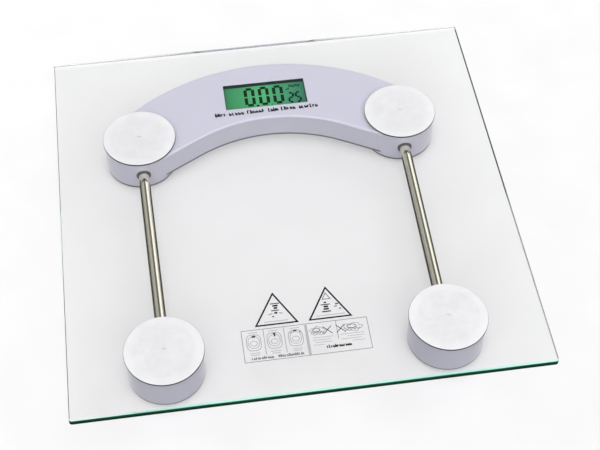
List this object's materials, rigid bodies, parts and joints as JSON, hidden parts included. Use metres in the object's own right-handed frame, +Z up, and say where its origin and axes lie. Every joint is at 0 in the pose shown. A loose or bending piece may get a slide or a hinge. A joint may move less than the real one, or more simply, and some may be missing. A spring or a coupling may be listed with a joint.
{
  "type": "digital bathroom scale",
  "caption": "Square glass platform bathroom scale on round pod feet joined by steel tubes, with a crescent display housing under the glass.",
  "frame": {"origin": "on the floor under the centre of the glass platform", "axes": "+Z up, +Y towards the display, +X to the right of a person reading it"},
  "size_m": [0.3, 0.3, 0.032],
  "materials": {
    "tempered_glass": "clear float glass, polished arrised edges that look deep green",
    "housing_paint": "moulded ABS with satin silver-lilac paint",
    "cover_abs": "fine-textured moulded ABS",
    "spun_aluminium": "fine spun face",
    "clear_adhesive": "clear UV-cured adhesive",
    "zinc_steel": "zinc plated",
    "white_sealant": "cured white silicone",
    "foot_abs": "moulded ABS",
    "foot_rubber": "matt moulded rubber",
    "black_rubber": "matt",
    "cable_pvc": "smooth PVC",
    "stainless_tube": "polished stainless steel",
    "board_laminate": "green solder mask",
    "chip_resin": "black epoxy drop",
    "board_parts": "moulded component bodies",
    "lcd_face": "green backlit liquid crystal display",
    "light_guide": "diffusing acrylic",
    "frame_abs": "moulded ABS",
    "coin_steel": "bright nickel-plated can",
    "nickel_strip": "nickel-plated spring strip",
    "button_abs": "moulded ABS",
    "switch_body": "moulded nylon",
    "screw_steel": "zinc-plated cross-head screws"
  },
  "bodies": {
    "scale_body": {"glass_platform": "tempered_glass", "display_housing": "housing_paint", "front_left_pod": "housing_paint", "front_right_pod": "housing_paint", "housing_cover": "cover_abs", "front_left_cap": "spun_aluminium", "front_left_bond_pad": "clear_adhesive", "front_left_load_cell": "zinc_steel", "front_left_strain_gauge": "white_sealant", "front_left_tube_grommet": "black_rubber", "front_left_cell_cable": "cable_pvc", "front_right_cap": "spun_aluminium", "front_right_bond_pad": "clear_adhesive", "front_right_load_cell": "zinc_steel", "front_right_strain_gauge": "white_sealant", "front_right_tube_grommet": "black_rubber", "front_right_cell_cable": "cable_pvc", "back_left_cap": "spun_aluminium", "back_left_bond_pad": "clear_adhesive", "back_left_load_cell": "zinc_steel", "back_left_strain_gauge": "white_sealant", "back_left_tube_grommet": "black_rubber", "back_left_cell_cable": "cable_pvc", "back_right_cap": "spun_aluminium", "back_right_bond_pad": "clear_adhesive", "back_right_load_cell": "zinc_steel", "back_right_strain_gauge": "white_sealant", "back_right_tube_grommet": "black_rubber", "back_right_cell_cable": "cable_pvc", "left_tube": "stainless_tube", "right_tube": "stainless_tube", "main_pcb": "board_laminate", "controller_chip": "chip_resin", "board_components": "board_parts", "lcd_panel": "lcd_face", "lcd_backlight": "light_guide", "lcd_contact_strip": "black_rubber", "lcd_frame": "frame_abs", "coin_cell": "coin_steel", "battery_contact_positive": "nickel_strip", "battery_contact_negative": "nickel_strip", "battery_leads": "cable_pvc", "unit_switch": "switch_body", "cap_screws": "screw_steel", "load_cell_screws": "screw_steel", "cover_screws": "screw_steel", "pcb_screws": "screw_steel"},
    "front_left_foot": {"front_left_foot": "foot_abs", "front_left_rubber_pad": "foot_rubber"},
    "front_right_foot": {"front_right_foot": "foot_abs", "front_right_rubber_pad": "foot_rubber"},
    "back_left_foot": {"back_left_foot": "foot_abs", "back_left_rubber_pad": "foot_rubber"},
    "back_right_foot": {"back_right_foot": "foot_abs", "back_right_rubber_pad": "foot_rubber"},
    "battery_door": {"battery_door": "cover_abs"},
    "unit_button": {"unit_button": "button_abs", "unit_switch_plunger": "switch_body"}
  },
  "joints": [
    {"name": "front_left_foot_press", "type": "slide", "parent": "scale_body", "child": "front_left_foot", "axis": [0, 0, 1], "range_m": [0, 0.0005], "stiffness_N_per_m": 4000, "springref_m": -0.002, "deforming": ["front_left_load_cell"]},
    {"name": "front_right_foot_press", "type": "slide", "parent": "scale_body", "child": "front_right_foot", "axis": [0, 0, 1], "range_m": [0, 0.0005], "stiffness_N_per_m": 4000, "springref_m": -0.002, "deforming": ["front_right_load_cell"]},
    {"name": "back_left_foot_press", "type": "slide", "parent": "scale_body", "child": "back_left_foot", "axis": [0, 0, 1], "range_m": [0, 0.0005], "stiffness_N_per_m": 4000, "springref_m": -0.002, "deforming": ["back_left_load_cell"]},
    {"name": "back_right_foot_press", "type": "slide", "parent": "scale_body", "child": "back_right_foot", "axis": [0, 0, 1], "range_m": [0, 0.0005], "stiffness_N_per_m": 4000, "springref_m": -0.002, "deforming": ["back_right_load_cell"]},
    {"name": "battery_door_hinge", "type": "hinge", "parent": "scale_body", "child": "battery_door", "pos_m": [-0.0687, 0.096, 0.0068], "axis": [0, 1, 0], "range_deg": [0, 100]},
    {"name": "unit_button_press", "type": "slide", "parent": "scale_body", "child": "unit_button", "axis": [0, 0, 1], "range_m": [0, 0.0008], "stiffness_N_per_m": 200, "springref_m": -0.003}
  ]
}
